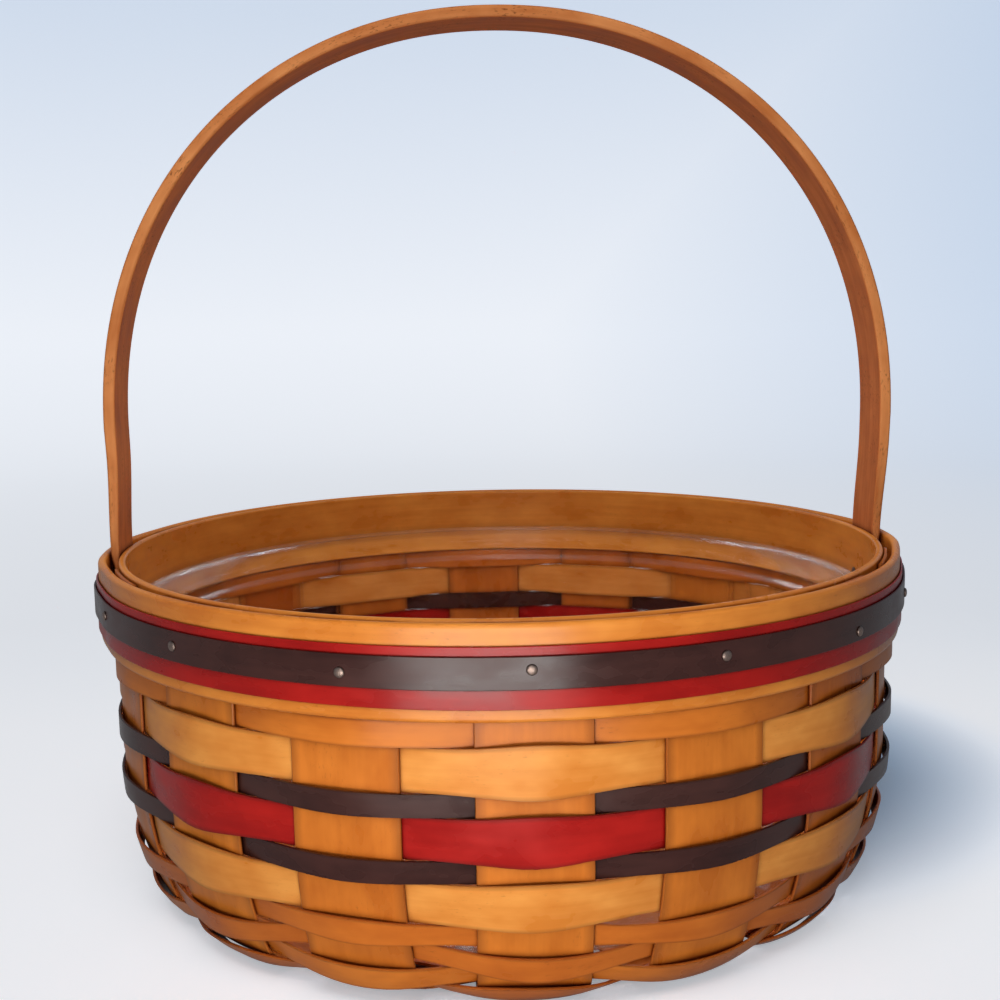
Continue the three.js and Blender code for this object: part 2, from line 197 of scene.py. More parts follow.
class BasketWallSizes(PropertyGroup):
    """Sizes of the wall, the uprights and the weaving."""

    wall_radius: length("Wall radius", 0.1392, "Radius of the middle of the uprights under the rim")
    straight_wall: length("Straight wall", 0.062, "Straight part of the wall, from the rim down")
    bend_radius: length("Bend radius", 0.127, "Radius of the wide bend in the wall")
    bend_angle: FloatProperty(
        name="Bend angle",
        description="How far the wide bend turns in",
        default=math.radians(21.2),
        subtype="ANGLE",
    )
    corner_radius: length("Corner radius", 0.01275, "Radius of the corner at the base")
    splint_width: length("Splint width", 0.0335, "Width of an upright")
    splint_thick: length("Splint thickness", 0.001, "Thickness of an upright")
    splint_step: length("Splint step", 0.00125, "Rise from one splint to the next where they cross")


class BasketWeaveSizes(PropertyGroup):
    """Sizes of the rows of weaving: widths where two rows pass, and where a row lies over an upright."""

    thick: length("Thickness", 0.0009, "Thickness of a row")
    bow: length("Bow", 0.0025, "How far a row stands off the middle of an upright")
    clearance: length("Clearance", 0.00025, "Space between a row and an upright's edge")
    press: length("Press", 0.0002, "How much wider the rows are pressed than they are laid")
    tuck: length("Tuck", 0.00045, "How far a row's edges reach behind its neighbours inside")
    first_row: length("First row", 0.0078, "Width of the row under the rim")
    first_over: length("First row over", 0.008, "Width of that row over an upright")
    wide_row: length("Wide row", 0.013, "Width of a wide row")
    wide_over: length("Wide row over", 0.0154, "Width of a wide row over an upright")
    dark_row: length("Dark row", 0.0066, "Width of a dark row")
    dark_over: length("Dark row over", 0.0069, "Width of a dark row over an upright")
    red_row: length("Red row", 0.0124, "Width of the red row")
    red_over: length("Red row over", 0.0154, "Width of the red row over an upright")
    low_row: length("Low row", 0.0066, "Width of a row near the base")
    low_over: length("Low row over", 0.0082, "Width of such a row over an upright")
    last_row: length("Last row", 0.0062, "Width of the row at the corner")
    last_over: length("Last row over", 0.0078, "Width of that row over an upright")
    base_row: length("Base row", 0.0062, "Width of a row under the base")
    base_over: length("Base row over", 0.0062, "Width of such a row over a splint")
    gap: length("Gap", 0.0003, "Space between the upper rows")
    low_first_gap: length("First low gap", 0.0017, "Space over the low rows")
    low_gap: length("Low gap", 0.001, "Space between the low rows")
    base_gap: length("Base gap", 0.0005, "Space between the rows under the base")
    stagger: length("Stagger", 0.002, "How far a low row sinks over its uprights")
    wander: length("Wander", 0.0018, "How far the low rows rise and sink round the basket")


class BasketRimSizes(PropertyGroup):
    """Sizes of the bands, the trims and the nails."""

    band_height: length("Band height", 0.0278, "Height of both bands")
    inner_outside: length("Inner band radius", 0.1382, "Outer radius of the inner band")
    inner_thick: length("Inner band thickness", 0.0024, "Thickness of the inner band")
    outer_inside: length("Outer band radius", 0.141, "Inner radius of the outer band")
    outer_thick: length("Outer band thickness", 0.0029, "Thickness of the outer band")
    trim_thick: length("Trim thickness", 0.00065, "Thickness of each strip over the outer band")
    layer_gap: length("Layer gap", 0.00025, "Space between the layers of the rim")
    red_top: length("Red strip top", 0.0061, "Top of the red strip below the rim")
    red_width: length("Red strip width", 0.0176, "Width of the red strip")
    dark_top: length("Dark strip top", 0.0087, "Top of the dark strip below the rim")
    dark_width: length("Dark strip width", 0.0093, "Width of the dark strip")
    leg_bulge: length("Bulge at the handle", 0.0016, "How far the outer band stands out round the handle")
    nail_head: length("Nail head radius", 0.0016, "Radius of a nail's head")
    nail_rise: length("Nail head height", 0.0008, "Height of a nail's domed head")
    nail_shank: length("Nail shank radius", 0.0006, "Radius of a nail's shank")


class BasketHandleSizes(PropertyGroup):
    """Sizes of the handle's bent strap."""

    width: length("Strap width", 0.0235, "Width of the strap")
    thick: length("Strap thickness", 0.0043, "Thickness of the strap")
    half_span: length("Half span", 0.1433, "Half the distance over the strap's outer faces")
    leg_outside: length("Leg outside", 0.1417, "Distance of the leg's outer face from the middle, at the rim")
    tongue: length("Tongue", 0.0013, "Thickness of the strap's thinned ends")
    arch_base: length("Arch base", 0.045, "Height over the rim where the arch starts")
    arch_rise: length("Arch rise", 0.145, "Rise of the arch")
    arch_power: FloatProperty(
        name="Arch power",
        description="2 is an ellipse, more is squarer",
        default=2.1,
        min=1.5,
        max=4.0,
    )
    edge_round: length("Edge rounding", 0.0011, "Radius of the strap's long edges")
    arch_shift: length("Arch shift", 0.0015, "How far the arch stands to the right of the middle")


class BasketLinerSizes(PropertyGroup):
    """Sizes of the clear liner."""

    drop: length("Liner drop", 0.0165, "Top of the liner below the rim")
    lip_radius: length("Lip radius", 0.1342, "Outer radius of the liner's lip")
    lip_width: length("Lip width", 0.0013, "How far the lip stands out")
    lip_height: length("Lip height", 0.0016, "Height of the lip")
    wall: length("Liner wall", 0.0012, "Thickness of the liner")
    step_drop: length("Step drop", 0.032, "Depth of the small step below the rim")
    step_width: length("Step width", 0.0012, "Width of the small step")
    step_height: length("Step height", 0.0024, "Height over which the liner steps in")
    foot_radius: length("Foot radius", 0.1265, "Outer radius at the liner's corner")
    corner: length("Liner corner", 0.009, "Radius of the liner's corner")


class BasketColours(PropertyGroup):
    """Colours of the woods, stains, nails, liner and stage."""

    splint_pale: colour("Pale splint", (0.68, 0.222, 0.03), "Lightest wood of the splints and narrow rows")
    splint_deep: colour("Deep splint", (0.52, 0.148, 0.017), "Darkest wood of the splints and narrow rows")
    wide_pale: colour("Pale wide row", (0.73, 0.3, 0.065), "Lightest wood of the wide rows")
    wide_deep: colour("Deep wide row", (0.58, 0.188, 0.028), "Darkest wood of the wide rows")
    band_pale: colour("Pale band", (0.71, 0.262, 0.043), "Lightest wood of the bands")
    band_deep: colour("Deep band", (0.545, 0.16, 0.02), "Darkest wood of the bands")
    handle_pale: colour("Pale handle", (0.76, 0.3, 0.1), "Lightest wood of the handle")
    handle_deep: colour("Deep handle", (0.54, 0.17, 0.045), "Darkest wood of the handle")
    red_pale: colour("Bright red", (0.39, 0.012, 0.009), "Lightest red stain")
    red_deep: colour("Deep red", (0.27, 0.006, 0.005), "Darkest red stain")
    dark_pale: colour("Pale dark stain", (0.055, 0.02, 0.016), "Lightest dark stain")
    dark_deep: colour("Deep dark stain", (0.03, 0.01, 0.008), "Darkest dark stain")
    # These fleck colours are also painted along the strips' edges as shade
    grain: colour("Grain", (0.14, 0.034, 0.008), "Flecks and edges of the wood")
    dark_edge: colour("Dark edge", (0.02, 0.006, 0.005), "Flecks and edges of the stained strips")
    nail: colour("Nail", (0.34, 0.25, 0.21), "Metal of the nails")
    liner: colour("Liner", (0.97, 0.985, 0.99), "Tint of the clear liner")
    floor: colour("Floor", (0.86, 0.87, 0.89), "The floor")


# Meshes


def smoothstep(value, low, high):
    """0 below low, 1 above high and smooth between."""
    part = min(max((value - low) / (high - low), 0.0), 1.0)
    return part * part * (3 - 2 * part)


def wall_point(wall, down, out):
    """Radius and height at a distance down the wall and off the middle of the uprights."""
    bend_end = wall.straight_wall + wall.bend_radius * wall.bend_angle
    if down <= wall.straight_wall:
        return wall.wall_radius + out, RIM_HEIGHT - down
    if down <= bend_end:
        angle = (down - wall.straight_wall) / wall.bend_radius
        radius = wall.bend_radius + out
        centre = wall.wall_radius - wall.bend_radius
        drop = wall.straight_wall
    else:
        angle = min(wall.bend_angle + (down - bend_end) / wall.corner_radius, math.pi / 2)
        radius = wall.corner_radius + out
        shift = wall.bend_radius - wall.corner_radius
        centre = wall.wall_radius - wall.bend_radius + shift * math.cos(wall.bend_angle)
        drop = wall.straight_wall + shift * math.sin(wall.bend_angle)
    past = max(0.0, down - corner_end(wall))
    return centre + radius * math.cos(angle) - past, RIM_HEIGHT - drop - radius * math.sin(angle)


def corner_end(wall):
    """Distance down the wall at which the base is flat."""
    bend_end = wall.straight_wall + wall.bend_radius * wall.bend_angle
    return bend_end + wall.corner_radius * (math.pi / 2 - wall.bend_angle)


def polar(radius, angle, height):
    """A point at a radius and angle round the basket's axis."""
    return Vector((radius * math.cos(angle), radius * math.sin(angle), height))


def make_piece(name, verts, faces, material):
    """Makes a smooth mesh object with one material."""
    mesh = bpy.data.meshes.new(name)
    mesh.from_pydata(verts, [], faces)
    mesh.validate()
    mesh.materials.append(material)
    for polygon in mesh.polygons:
        polygon.use_smooth = True
    piece = bpy.data.objects.new(name, mesh)
    bpy.context.scene.collection.objects.link(piece)
    return piece


def sweep(name, sections, closed, material, sharp=(), tone=0.5, edges=(), shaded_points=()):
    """Makes a long piece from equal loops of points, with grain coordinates along it in metres.

    sharp lists the points of a loop that run along a crease, edges those on the piece's narrow sides, which
    get painted shade, and the last list those on the face that lies inside the basket, which is darkened as
    painted shade.
    """
    count = len(sections[0])
    total = len(sections)
    runs = total if closed else total - 1
    verts = [point for loop in sections for point in loop]
    faces = []
    for i in range(runs):
        here = i * count
        there = (i + 1) % total * count
        for j in range(count):
            k = (j + 1) % count
            faces.append((here + j, there + j, there + k, here + k))
    if not closed:
        faces.append(tuple(range(count)))
        faces.append(tuple(range(total * count - 1, (total - 1) * count - 1, -1)))
    piece = make_piece(name, verts, faces, material)
    mesh = piece.data
    centres = [sum(loop, Vector()) / count for loop in sections]
    along = [0.0]
    for i in range(runs):
        along.append(along[-1] + (centres[(i + 1) % total] - centres[i]).length)
    across = [0.0]
    middle = sections[total // 2]
    for j in range(count):
        across.append(across[-1] + (middle[(j + 1) % count] - middle[j]).length)
    grain = mesh.uv_layers.new(name="Grain")
    place = 0
    for i in range(runs):
        for j in range(count):
            for step, side in ((0, 0), (1, 0), (1, 1), (0, 1)):
                grain.data[place].uv = (along[i + step], across[j + side])
                place += 1
    # Painted shade: the points on the face inside the basket are made darker
    tones_and_shade = mesh.attributes.new("Tone", "FLOAT", "POINT")
    tones_and_shade.data.foreach_set("value", [tone - INSIDE_SHADE * (i % count in shaded_points) for i in range(len(verts))])
    # Painted shade along the narrow sides of a strip
    wear_and_edge_shade = mesh.attributes.new("Edge", "FLOAT", "POINT")
    wear_and_edge_shade.data.foreach_set("value", [1.0 if i % count in edges else 0.0 for i in range(len(verts))])
    for edge in mesh.edges:
        one, two = edge.vertices
        edge.use_edge_sharp = one % count == two % count and one % count in sharp
    return piece


def dress(piece, node, body="basket"):
    """Hangs a piece on the empty of the body it rides on and hides the CAD part of the node that it stands
    for.
    """
    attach(piece, body)
    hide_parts(node)
    return piece


# The share of the half width and of the thickness at each point round a strip's section
STRIP_SECTION = (
    (-0.985, -1.0),
    (-0.8, -1.0),
    (0.0, -1.0),
    (0.8, -1.0),
    (0.985, -1.0),
    (1.0, -0.5),
    (1.0, 0.5),
    (0.985, 1.0),
    (0.8, 1.0),
    (0.0, 1.0),
    (-0.8, 1.0),
    (-0.985, 1.0),
    (-1.0, 0.5),
    (-1.0, -0.5),
)
# Points along the creases, points on the narrow sides, which get painted shade, and points on the face inside
# the basket, which get painted shade
STRIP_SHARP = (0, 4, 7, 11)
STRIP_EDGES = (0, 4, 5, 6, 7, 11, 12, 13)
STRIP_INSIDE = (0, 1, 2, 3, 4, 5, 13)


def row_height(off, edge, edge_height):
    """Height of a row's wave off the middle of an upright: 1 there, edge_height at the upright's edge."""
    half = PITCH / 2
    slope = -edge_height / (half - edge)
    if off >= edge:
        return slope * (off - half)
    part = off / edge
    start = 2 * part**3 - 3 * part**2 + 1
    turn = (part**3 - part**2) * max(edge * slope, -3 * (1 - edge_height))
    return start + (1 - start) * edge_height + turn


def weave_row(wall, weave, row, centre, material, draw):
    """One row of weaving, which bows out over every second upright and goes behind the others."""
    node, kind, side, stagger, _ = row
    crossing, over = getattr(weave, kind + "_row"), getattr(weave, kind + "_over")
    stagger *= weave.stagger
    wander = weave.wander if kind in LOW_KINDS else 0.0
    press = 0.0 if kind == "base" else weave.press
    half = max(crossing, over) / 2 + abs(stagger) + wander
    narrowest = min(wall_point(wall, centre - half, 0)[0], wall_point(wall, centre + half, 0)[0])
    edge = math.asin(wall.splint_width / 2 / narrowest)
    clear = (wall.splint_thick + weave.thick) / 2 + weave.clearance
    drift = [draw.uniform(-ROW_DRIFT, ROW_DRIFT) for _ in range(UPRIGHTS)]
    plump = [draw.uniform(*ROW_PLUMP) for _ in range(UPRIGHTS)]
    sections = []
    for i in range(UPRIGHTS * ROW_STEPS):
        # The seam is at the back, behind an upright that the row passes on the inside
        angle = i / ROW_STEPS * PITCH + PITCH * (4 if side < 0 else 5)
        nearest = round(angle / PITCH)
        sign = -1 if nearest % 2 else 1
        off = abs(angle - nearest * PITCH)
        wave = sign * row_height(off, edge, clear / weave.bow)
        outside = max(0.0, wave * side)
        tuck = weave.tuck * smoothstep(-wave * side, *TUCK_WAVES) if kind != "base" else 0.0
        at = nearest % UPRIGHTS
        fade = 1 - smoothstep(off, 0, PITCH / 2)
        half_width = (crossing + press + (over - crossing) * outside**2) / 2 * (1 + (plump[at] - 1) * fade)
        reach = {-1: half_width + (0.0 if kind == "first" else tuck), 1: half_width + tuck}
        middle = centre + stagger * wave + wander * math.sin(angle * SPLINTS / 2) + drift[at] * fade
        out = side * wave * weave.bow
        ends = {}
        loop = []
        for share, thick in STRIP_SECTION:
            depth = out + thick * weave.thick / 2
            if thick not in ends:
                ends[thick] = [Vector(wall_point(wall, middle + s * reach[s], depth)) for s in (-1, 1)]
            low, high = ends[thick]
            flat = low.lerp(high, (share + 1) / 2)
            bent = Vector(wall_point(wall, middle + share * reach[1 if share > 0 else -1], depth))
            radius, height = flat.lerp(bent, ROW_CURVED)
            loop.append(polar(radius, angle, height))
        sections.append(loop)
    name = "weave_" + node.removeprefix("row_")
    return sweep(name, sections, True, material, STRIP_SHARP, draw.random(), STRIP_EDGES, STRIP_INSIDE)


def gap_over(weave, kind, before):
    """Space between a row of one kind and the row before it."""
    if kind == "base":
        return weave.base_gap if before == kind else 0.0
    if kind in LOW_KINDS:
        return weave.low_gap if before in LOW_KINDS else weave.low_first_gap
    return weave.gap


def lay_rows(wall, weave, rows, edge, draw):
    """Lays rows one below the other from an edge down."""
    before = ""
    for row in rows:
        node, kind, _, _, slot = row
        width = getattr(weave, kind + "_row")
        edge += gap_over(weave, kind, before)
        dress(weave_row(wall, weave, row, edge + width / 2, finish(slot), draw), node)
        edge += width
        before = kind


def splint_path(wall, number):
    """Half of a long splint's middle line, from its top to the middle of the base."""
    at_leg = number == 0
    base_start = corner_end(wall)
    top = LEG_SPLINT_TOP if at_leg else SPLINT_TOP
    stations = [top + (base_start - top) * i / SPLINT_STEPS for i in range(SPLINT_STEPS + 1)]
    path = []
    for down in stations:
        spread = TONGUE_SPREAD * (1 - smoothstep(down, HANDLE_END, SPREAD_END)) if at_leg else 0.0
        radius, height = wall_point(wall, down, spread)
        outer = wall_point(wall, down, spread + 1.0)
        round_share = 1 - 0.5 * spread / TONGUE_SPREAD if at_leg else 1.0
        path.append((radius, height, outer[0] - radius, outer[1] - height, round_share))
    half = wall.splint_width / 2
    next_crossing = half / math.tan(PITCH / 2)
    like_crossing = half / math.tan(PITCH)
    upper = number % 2
    place = number // 2 + (SPLINTS // 2 - 1 if upper else 0)
    start = like_crossing + CROSSING_ROOM + (3.5 * wall.splint_step if upper else 0.0)
    levels = (
        (next_crossing + RISE_FROM, 0),
        (next_crossing + RISE_TO, upper),
        (start + 0.5 * like_crossing, upper),
        (start, upper + place),
    )
    base = path[-1][1]
    for radius, level in levels:
        path.append((radius, base + level * wall.splint_step, 0.0, -1.0, 0.0))
    return path


def long_splint(wall, number, material, draw):
    """A splint that climbs one wall, crosses under the base and climbs the wall opposite."""
    half = splint_path(wall, number)
    path = [(1, point) for point in half] + [(-1, point) for point in reversed(half)]
    turn = Matrix.Rotation(number * PITCH, 3, "Z")
    sections = []
    for way, (radius, height, out_r, out_z, round_share) in path:
        loop = []
        for share, thick in STRIP_SECTION:
            side = share * wall.splint_width / 2
            depth = thick * wall.splint_thick / 2
            reach = radius + depth * out_r
            bent = math.sqrt(reach * reach - side * side)
            along = way * (round_share * bent + (1 - round_share) * reach)
            loop.append(turn @ Vector((along, side, height + depth * out_z)))
        sections.append(loop)
    name = f"splint_{number + 1}"
    return sweep(name, sections, False, material, STRIP_SHARP, draw.random(), STRIP_EDGES, STRIP_INSIDE)


def round_corners(corners, radius, steps=3):
    """A loop of points with each corner of a rectangle rounded off. The corners go round in order."""
    loop = []
    count = len(corners)
    for i, corner in enumerate(corners):
        corner = Vector(corner)
        back = (Vector(corners[i - 1]) - corner).normalized()
        ahead = (Vector(corners[(i + 1) % count]) - corner).normalized()
        centre = corner + (back + ahead) * radius
        for step in range(steps + 1):
            angle = step / steps * math.pi / 2
            loop.append(centre - ahead * radius * math.cos(angle) - back * radius * math.sin(angle))
    return loop


def bulge(rim, angle):
    """How far the outer band stands out at an angle: full beside a leg of the handle, then fading."""
    off = abs(math.atan2(math.sin(2 * angle), math.cos(2 * angle))) / 2
    return rim.leg_bulge * (1 - smoothstep(off, BULGE_FULL, BULGE_END))


def band_ring(name, rim, inside, thick, top, height, rounding, bulges, seam, material, tone):
    """A bent band round the rim with softened edges, whose ends meet at the seam."""
    corners = [
        (inside, RIM_HEIGHT - top - height),
        (inside + thick, RIM_HEIGHT - top - height),
        (inside + thick, RIM_HEIGHT - top),
        (inside, RIM_HEIGHT - top),
    ]
    outline = round_corners(corners, rounding)
    sections = []
    for i in range(BAND_STEPS):
        angle = i / BAND_STEPS * 2 * math.pi + seam
        out = bulge(rim, angle) if bulges else 0.0
        sections.append([polar(radius + out, angle, height) for radius, height in outline])
    piece = sweep(name, sections, True, material, (), tone)
    even_shading(piece)
    return piece


def even_shading(piece):
    """Keeps a piece's broad faces evenly shaded up to its rounded edges."""
    piece.modifiers.new("Even shading", "WEIGHTED_NORMAL")


def handle_strap(rim, handle, material):
    """The handle: one bent strap with thinned ends that stand inside the rim."""
    inner = rim.inner_outside + rim.layer_gap
    outer_leg = (
        (-HANDLE_END, inner + handle.tongue),
        (THICKENS_FROM, inner + handle.tongue),
        (THICK_FROM, handle.leg_outside),
        (LEG_TOP, handle.leg_outside),
        (handle.arch_base, handle.half_span),
    )
    inner_leg = ((-HANDLE_END, inner), (LEG_TOP, inner), (handle.arch_base, handle.half_span - handle.thick))
    pairs = []
    for i in range(LEG_STEPS):
        height = -HANDLE_END + (handle.arch_base + HANDLE_END) * i / LEG_STEPS
        pairs.append(((between(outer_leg, height), height), (between(inner_leg, height), height)))
    power = 2 / handle.arch_power
    for i in range(ARCH_STEPS + 1):
        angle = i / ARCH_STEPS * math.pi / 2
        share_x = math.cos(angle) ** power if i < ARCH_STEPS else 0.0
        share_z = math.sin(angle) ** power
        point = Vector((handle.half_span * share_x, handle.arch_base + handle.arch_rise * share_z))
        slope = handle.arch_power - 1
        normal = Vector((share_x**slope / handle.half_span, share_z**slope / handle.arch_rise))
        pairs.append((tuple(point), tuple(point - normal.normalized() * handle.thick)))
    mirrored = [((-a[0], a[1]), (-b[0], b[1])) for a, b in reversed(pairs[:-1])]
    sections = []
    for outside, inside in pairs + mirrored:
        outside, inside = Vector(outside), Vector(inside)
        thick = (outside - inside).length
        away = (outside - inside) / thick
        half = handle.width / 2
        corners = [(-half, 0.0), (half, 0.0), (half, thick), (-half, thick)]
        loop = []
        shift = handle.arch_shift * smoothstep(inside.y, 0.0, handle.arch_base * 0.8)
        for across, rise in round_corners(corners, min(handle.edge_round, thick * 0.45), 4):
            spot = inside + away * rise
            loop.append(Vector((spot.x + shift, -across, RIM_HEIGHT + spot.y)))
        sections.append(loop)
    # Painted shade: the strap's broad inner and outer faces are made darker than its narrow edges
    piece = sweep("handle_strap", sections, False, material, (), 0.9, (), (3, 4, 5, 6, 13, 14, 15, 16))
    even_shading(piece)
    return piece


def between(points, place):
    """The value at a place along a line of (place, value) points, straight between them."""
    for (low, first), (high, last) in zip(points, points[1:]):
        if place <= high:
            return first + (last - first) * (place - low) / (high - low)
    return points[-1][1]


def turned(name, profile, material, segments, origin=Vector(), axis=Vector((0, 0, 1))):
    """A turned piece from (radius, along) points that start and end on its axis."""
    lean = axis.to_track_quat("Z", "Y").to_matrix()
    verts = []
    rings = []
    for radius, along in profile:
        if radius == 0:
            rings.append([len(verts)])
            verts.append(origin + lean @ Vector((0, 0, along)))
            continue
        rings.append(list(range(len(verts), len(verts) + segments)))
        for i in range(segments):
            angle = i / segments * 2 * math.pi
            spot = Vector((radius * math.cos(angle), radius * math.sin(angle), along))
            verts.append(origin + lean @ spot)
    faces = []
    for low, high in zip(rings, rings[1:]):
        for i in range(segments):
            j = (i + 1) % segments
            if len(low) == 1:
                faces.append((low[0], high[j], high[i]))
            elif len(high) == 1:
                faces.append((low[i], low[j], high[0]))
            else:
                faces.append((low[i], low[j], high[j], high[i]))
    return make_piece(name, verts, faces, material)


def nail(name, rim, seat, direction, point, material):
    """A small nail with a domed head, driven along a direction."""
    head, rise, shank = rim.nail_head, rim.nail_rise, rim.nail_shank
    profile = [(0.0, -point), (shank, -point), (shank, 0.0), (head * 0.95, 0.0)]
    steps = 5
    for i in range(steps):
        angle = i / steps * math.pi / 2
        profile.append((head * math.cos(angle) ** 0.8, 0.12 * rise + 0.88 * rise * math.sin(angle)))
    profile.append((0.0, rise))
    return turned(name, profile, material, NAIL_SIDES, seat, direction)


def liner_shell(liner, clear, edge):
    """The clear liner: rounded lip, soft step, tapered wall, round corner and flat floor."""
    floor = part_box("liner")[0].z
    top = RIM_HEIGHT - liner.drop
    step = RIM_HEIGHT - liner.step_drop
    body_top = liner.lip_radius - liner.lip_width
    body_step = body_top - 0.0006
    bead = liner.lip_height / 2
    outer = []
    inner = []
    for angle in (90, 60, 30, 0):
        rise = top - bead + bead * math.sin(math.radians(angle))
        reach = bead * (1 - math.cos(math.radians(angle)))
        outer.append((liner.lip_radius - reach, rise))
        inner.append((body_top - liner.wall + reach, rise))
    outer.append((liner.lip_radius, top - liner.lip_height))
    outer.append((body_top, top - liner.lip_height))
    for share in (0.0, 0.12, 0.35, 0.65, 0.88, 1.0):
        height = step + liner.step_height * (1 - share)
        radius = body_step - liner.step_width * smoothstep(share, 0, 1)
        outer.append((radius, height))
        inner.append((radius - liner.wall, height))
    steps = 8
    for i in range(steps + 1):
        angle = i / steps * math.pi / 2
        radius = liner.foot_radius - liner.corner + liner.corner * math.cos(angle)
        height = floor + liner.corner - liner.corner * math.sin(angle)
        outer.append((radius, height))
        inner.append((radius - liner.wall * math.cos(angle), height + liner.wall * math.sin(angle)))
    profile = [(0.0, floor)] + outer[::-1] + inner + [(0.0, floor + liner.wall)]
    piece = turned("clear_liner", profile, clear, LINER_SIDES)
    piece.data.materials.append(edge)
    low, high = step - 0.0001, step + liner.step_height
    for polygon in piece.data.polygons:
        if polygon.center.z > top - liner.lip_height * 1.05 or low < polygon.center.z < high:
            polygon.material_index = 1
    return piece


# Materials


class Nodes:
    """A short way to add and join a material's nodes."""

    def __init__(self, name):
        self.material = bpy.data.materials.new(name)
        self.material.use_nodes = True
        self.tree = self.material.node_tree
        self.surface = self.tree.nodes["Principled BSDF"]
        self.output = self.tree.nodes["Material Output"]

    def add(self, kind, inputs=None, **settings):
        """A new node with its settings and inputs, where an input is a value or another node's output."""
        made = self.tree.nodes.new("ShaderNode" + kind)
        for key, value in settings.items():
            setattr(made, key, value)
        for key, value in (inputs or {}).items():
            self.put(made, key, value)
        return made

    def put(self, made, key, value):
        """Sets or joins one input."""
        if isinstance(value, bpy.types.NodeSocket):
            self.tree.links.new(value, made.inputs[key])
        else:
            made.inputs[key].default_value = value

    def maths(self, operation, *values):
        """The result of a sum on numbers or outputs."""
        return self.add("Math", dict(enumerate(values)), operation=operation).outputs[0]

    def blend(self, share, first, second, blend_type="MIX"):
        """A mix of two colours."""
        inputs = {"Factor": share, 6: first, 7: second}
        return self.add("Mix", inputs, data_type="RGBA", blend_type=blend_type).outputs[2]

    def spread(self, value, low, high, to_low, to_high):
        """A value moved from one range to another, and held inside it."""
        inputs = {0: value, 1: low, 2: high, 3: to_low, 4: to_high}
        return self.add("MapRange", inputs).outputs[0]


def opaque(rgb):
    """A colour with its alpha."""
    return (*rgb, 1.0)


def wood(name, pale, deep, grain, streaks=0.22, flecks=0.6, gloss=0.3, level=0.2):
    """Varnished or stained wood: blotches, streaks, flecks and a tone for each piece, with painted shade in
    creases, along edges and inside the basket.
    """
    nodes = Nodes(name)
    uv = nodes.add("UVMap", uv_map="Grain").outputs[0]
    tone = nodes.add("Attribute", attribute_name="Tone").outputs["Fac"]
    edge = nodes.add("Attribute", attribute_name="Edge").outputs["Fac"]
    shift = nodes.add("CombineXYZ", {0: nodes.maths("MULTIPLY", tone, 9.7), 2: tone}).outputs[0]
    place = nodes.add("VectorMath", {0: uv, 1: shift}, operation="ADD").outputs[0]

    def noise(along, across, detail, roughness):
        scaled = nodes.add("VectorMath", {0: place, 1: (along, across, 7.0)}, operation="MULTIPLY")
        inputs = {"Vector": scaled.outputs[0], "Scale": 1.0, "Detail": detail, "Roughness": roughness}
        return nodes.add("TexNoise", inputs).outputs[0]

    blotch = noise(*BLOTCH)
    streak = noise(*STREAK)
    fleck = noise(*FLECK)
    patch = noise(*PATCH)
    soft = nodes.maths("MULTIPLY", blotch, 1 - streaks)
    lined = nodes.maths("MULTIPLY", streak, streaks)
    mixed = nodes.maths("ADD", soft, lined)
    body = nodes.blend(nodes.spread(mixed, 0.36, 0.64, 0.0, 1.0), opaque(deep), opaque(pale))
    # The tone holds each piece's own tone and the painted shade inside the basket, which is also redder
    warm = nodes.spread(tone, -0.7, 1.0, 0.7, 1.08)
    bright = nodes.spread(tone, -0.7, 1.0, 0.42, 1.08)
    shade = nodes.add("CombineColor", {0: warm, 1: bright, 2: bright}).outputs[0]
    # Painted shade: the wood is darkened and tinted where occlusion finds other surfaces close by
    crease = nodes.add("AmbientOcclusion", {"Distance": CREASE_REACH}, samples=8).outputs["AO"]
    open_share = nodes.spread(crease, 0.25, 0.85, 0.0, 1.0)
    crease_shade = nodes.blend(open_share, CREASE_SHADE_TINT, (1.0, 1.0, 1.0, 1.0))
    toned = nodes.blend(1.0, nodes.blend(1.0, body, shade, "MULTIPLY"), crease_shade, "MULTIPLY")
    dots = nodes.spread(fleck, 0.64 - 0.04 * flecks, 0.76, 0.0, 1.0)
    groups = nodes.spread(patch, 0.48, 0.66, 0.0, 1.0)
    marks = nodes.maths("MULTIPLY", dots, groups)
    speck = nodes.maths("MULTIPLY", marks, 0.5 * flecks)
    flecked = nodes.blend(speck, toned, opaque(grain))
    # Painted shade: the wood darkens towards a strip's edges
    final = nodes.blend(nodes.maths("MULTIPLY", edge, 0.5), flecked, opaque(grain))
    surface = nodes.surface
    nodes.put(surface, "Base Color", final)
    nodes.put(surface, "Roughness", nodes.spread(blotch, 0.35, 0.65, gloss - 0.04, gloss + 0.1))
    surface.inputs["Specular IOR Level"].default_value = level
    rise = nodes.maths("SUBTRACT", nodes.maths("MULTIPLY", streak, 0.7), nodes.maths("MULTIPLY", speck, 0.5))
    bump = nodes.add("Bump", {"Strength": 0.25, "Distance": 0.0002, "Height": rise})
    nodes.put(surface, "Normal", bump.outputs[0])
    return nodes.material


def nail_metal(rgb):
    """Dull coppery metal with fine scratches."""
    nodes = Nodes("Nail metal")
    place = nodes.add("TexCoord").outputs["Object"]
    noise = nodes.add("TexNoise", {"Vector": place, "Scale": 1800.0, "Detail": 3.0}).outputs[0]
    wear_and_edge_shade = nodes.blend(nodes.spread(noise, 0.35, 0.65, 0.0, 1.0), opaque(rgb), opaque([c * 0.7 for c in rgb]))
    nodes.put(nodes.surface, "Base Color", wear_and_edge_shade)
    nodes.put(nodes.surface, "Roughness", nodes.spread(noise, 0.3, 0.7, 0.4, 0.55))
    nodes.surface.inputs["Metallic"].default_value = 1.0
    return nodes.material


